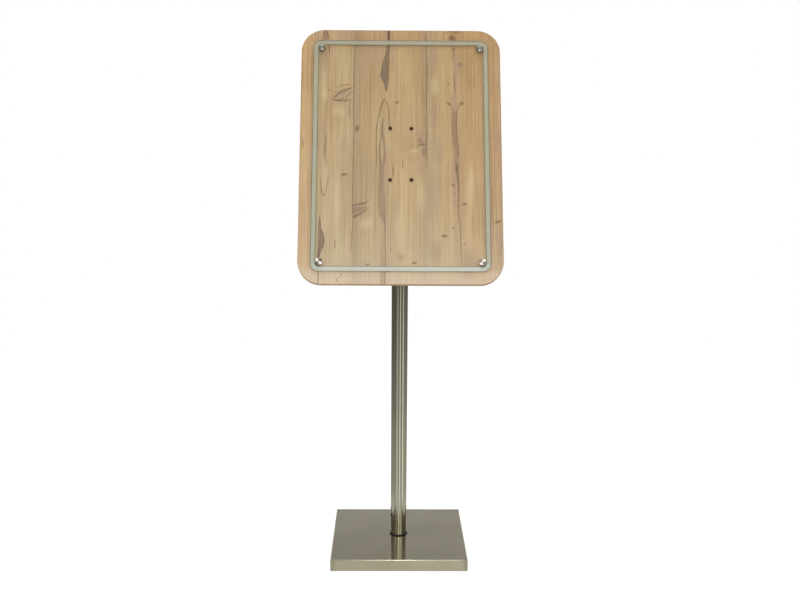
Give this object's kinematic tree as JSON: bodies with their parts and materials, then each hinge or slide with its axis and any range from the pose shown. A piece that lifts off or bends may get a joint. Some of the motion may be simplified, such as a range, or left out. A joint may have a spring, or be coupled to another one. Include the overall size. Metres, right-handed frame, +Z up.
{
  "type": "information display stand",
  "caption": "Free-standing information display: tilting wood-decor board under a clear cover with turned caps, on a round steel pole and a square weighted base.",
  "frame": {"origin": "on the pole's axis at floor level, on the underside of the rubber pad", "axes": "+Z up along the pole, -Y towards the reader, +X to the reader's right"},
  "size_m": [0.6, 0.416, 1.615],
  "materials": {
    "stainless": "satin brushed",
    "turned_steel": "turned, circular lay",
    "plain_steel": "zinc plated",
    "raw_plate": "mill scale",
    "black_screws": "blacked",
    "brown_bolts": "dark brown",
    "bracket_paint": "fine-texture powder coat",
    "aluminium": "turned",
    "brass": "plain",
    "black_rubber": "matt",
    "knob_plastic": "matt",
    "fibre": "matt",
    "board_core": "fibreboard",
    "wood_decor": "wood-decor laminate, matt",
    "clear_acrylic": "clear, polished",
    "frosted_film": "frosted grey-green",
    "soft_plastic": "translucent white"
  },
  "bodies": {
    "stand": {"base_pad": "black_rubber", "base_weight": "raw_plate", "base_cover": "stainless", "cover_posts": "plain_steel", "cover_screws": "plain_steel", "pole_spigot": "plain_steel", "flange_screws": "plain_steel", "foot_ring": "black_rubber", "lower_pole": "stainless", "upper_pole": "stainless", "pole_joiner": "plain_steel", "joiner_screws": "black_screws", "locking_screw": "black_screws", "pole_head": "plain_steel", "head_screw": "black_screws", "friction_washers": "fibre"},
    "head": {"tilt_bracket": "bracket_paint", "pivot_bolt": "plain_steel", "bracket_bolts": "brown_bolts", "bracket_nuts": "plain_steel", "board_core": "board_core", "front_laminate": "wood_decor", "back_laminate": "wood_decor", "edge_band": "wood_decor", "stud_inserts": "brass", "cover_studs": "plain_steel", "standoffs": "aluminium"},
    "cover": {"cover_panel": "clear_acrylic", "border_strip": "frosted_film"},
    "clamp_washer": {"knob_washer": "plain_steel"},
    "clamp_knob": {"tilt_knob": "knob_plastic", "knob_insert": "brass"},
    "washer_top_left": {"washer_top_left": "soft_plastic"},
    "cap_top_left": {"cap_top_left": "turned_steel"},
    "washer_top_right": {"washer_top_right": "soft_plastic"},
    "cap_top_right": {"cap_top_right": "turned_steel"},
    "washer_bottom_left": {"washer_bottom_left": "soft_plastic"},
    "cap_bottom_left": {"cap_bottom_left": "turned_steel"},
    "washer_bottom_right": {"washer_bottom_right": "soft_plastic"},
    "cap_bottom_right": {"cap_bottom_right": "turned_steel"}
  },
  "joints": [
    {"name": "head_tilt", "type": "hinge", "parent": "stand", "child": "head", "pos_m": [0, 0, 1.224], "axis": [-1, 0, 0], "range_deg": [-21, 69]},
    {"name": "cover_lift", "type": "slide", "parent": "head", "child": "cover", "axis": [0, -0.9336, 0.3584], "range_m": [0, 0.1]},
    {"name": "knob_travel", "type": "slide", "parent": "head", "child": "clamp_washer", "axis": [1, 0, 0], "range_m": [0, 0.0015]},
    {"name": "knob_turn", "type": "hinge", "parent": "clamp_washer", "child": "clamp_knob", "pos_m": [0, 0, 1.224], "axis": [1, 0, 0], "range_deg": [0, 360]},
    {"name": "travel_top_left", "type": "slide", "parent": "cover", "child": "washer_top_left", "axis": [0, -0.9336, 0.3584], "range_m": [0, 0.0045]},
    {"name": "turn_top_left", "type": "hinge", "parent": "washer_top_left", "child": "cap_top_left", "pos_m": [-0.237, 0.05065, 1.5591], "axis": [0, -0.9336, 0.3584], "range_deg": [0, 1620]},
    {"name": "travel_top_right", "type": "slide", "parent": "cover", "child": "washer_top_right", "axis": [0, -0.9336, 0.3584], "range_m": [0, 0.0045]},
    {"name": "turn_top_right", "type": "hinge", "parent": "washer_top_right", "child": "cap_top_right", "pos_m": [0.237, 0.05065, 1.5591], "axis": [0, -0.9336, 0.3584], "range_deg": [0, 1620]},
    {"name": "travel_bottom_left", "type": "slide", "parent": "cover", "child": "washer_bottom_left", "axis": [0, -0.9336, 0.3584], "range_m": [0, 0.0045]},
    {"name": "turn_bottom_left", "type": "hinge", "parent": "washer_bottom_left", "child": "cap_bottom_left", "pos_m": [-0.237, -0.18658, 0.94107], "axis": [0, -0.9336, 0.3584], "range_deg": [0, 1620]},
    {"name": "travel_bottom_right", "type": "slide", "parent": "cover", "child": "washer_bottom_right", "axis": [0, -0.9336, 0.3584], "range_m": [0, 0.0045]},
    {"name": "turn_bottom_right", "type": "hinge", "parent": "washer_bottom_right", "child": "cap_bottom_right", "pos_m": [0.237, -0.18658, 0.94107], "axis": [0, -0.9336, 0.3584], "range_deg": [0, 1620]}
  ],
  "couplings": [
    {"joint": "knob_travel", "follows": "knob_turn", "m_per_rad": 0.00023873},
    {"joint": "travel_top_left", "follows": "turn_top_left", "m_per_rad": 0.00015915},
    {"joint": "travel_top_right", "follows": "turn_top_right", "m_per_rad": 0.00015915},
    {"joint": "travel_bottom_left", "follows": "turn_bottom_left", "m_per_rad": 0.00015915},
    {"joint": "travel_bottom_right", "follows": "turn_bottom_right", "m_per_rad": 0.00015915}
  ]
}
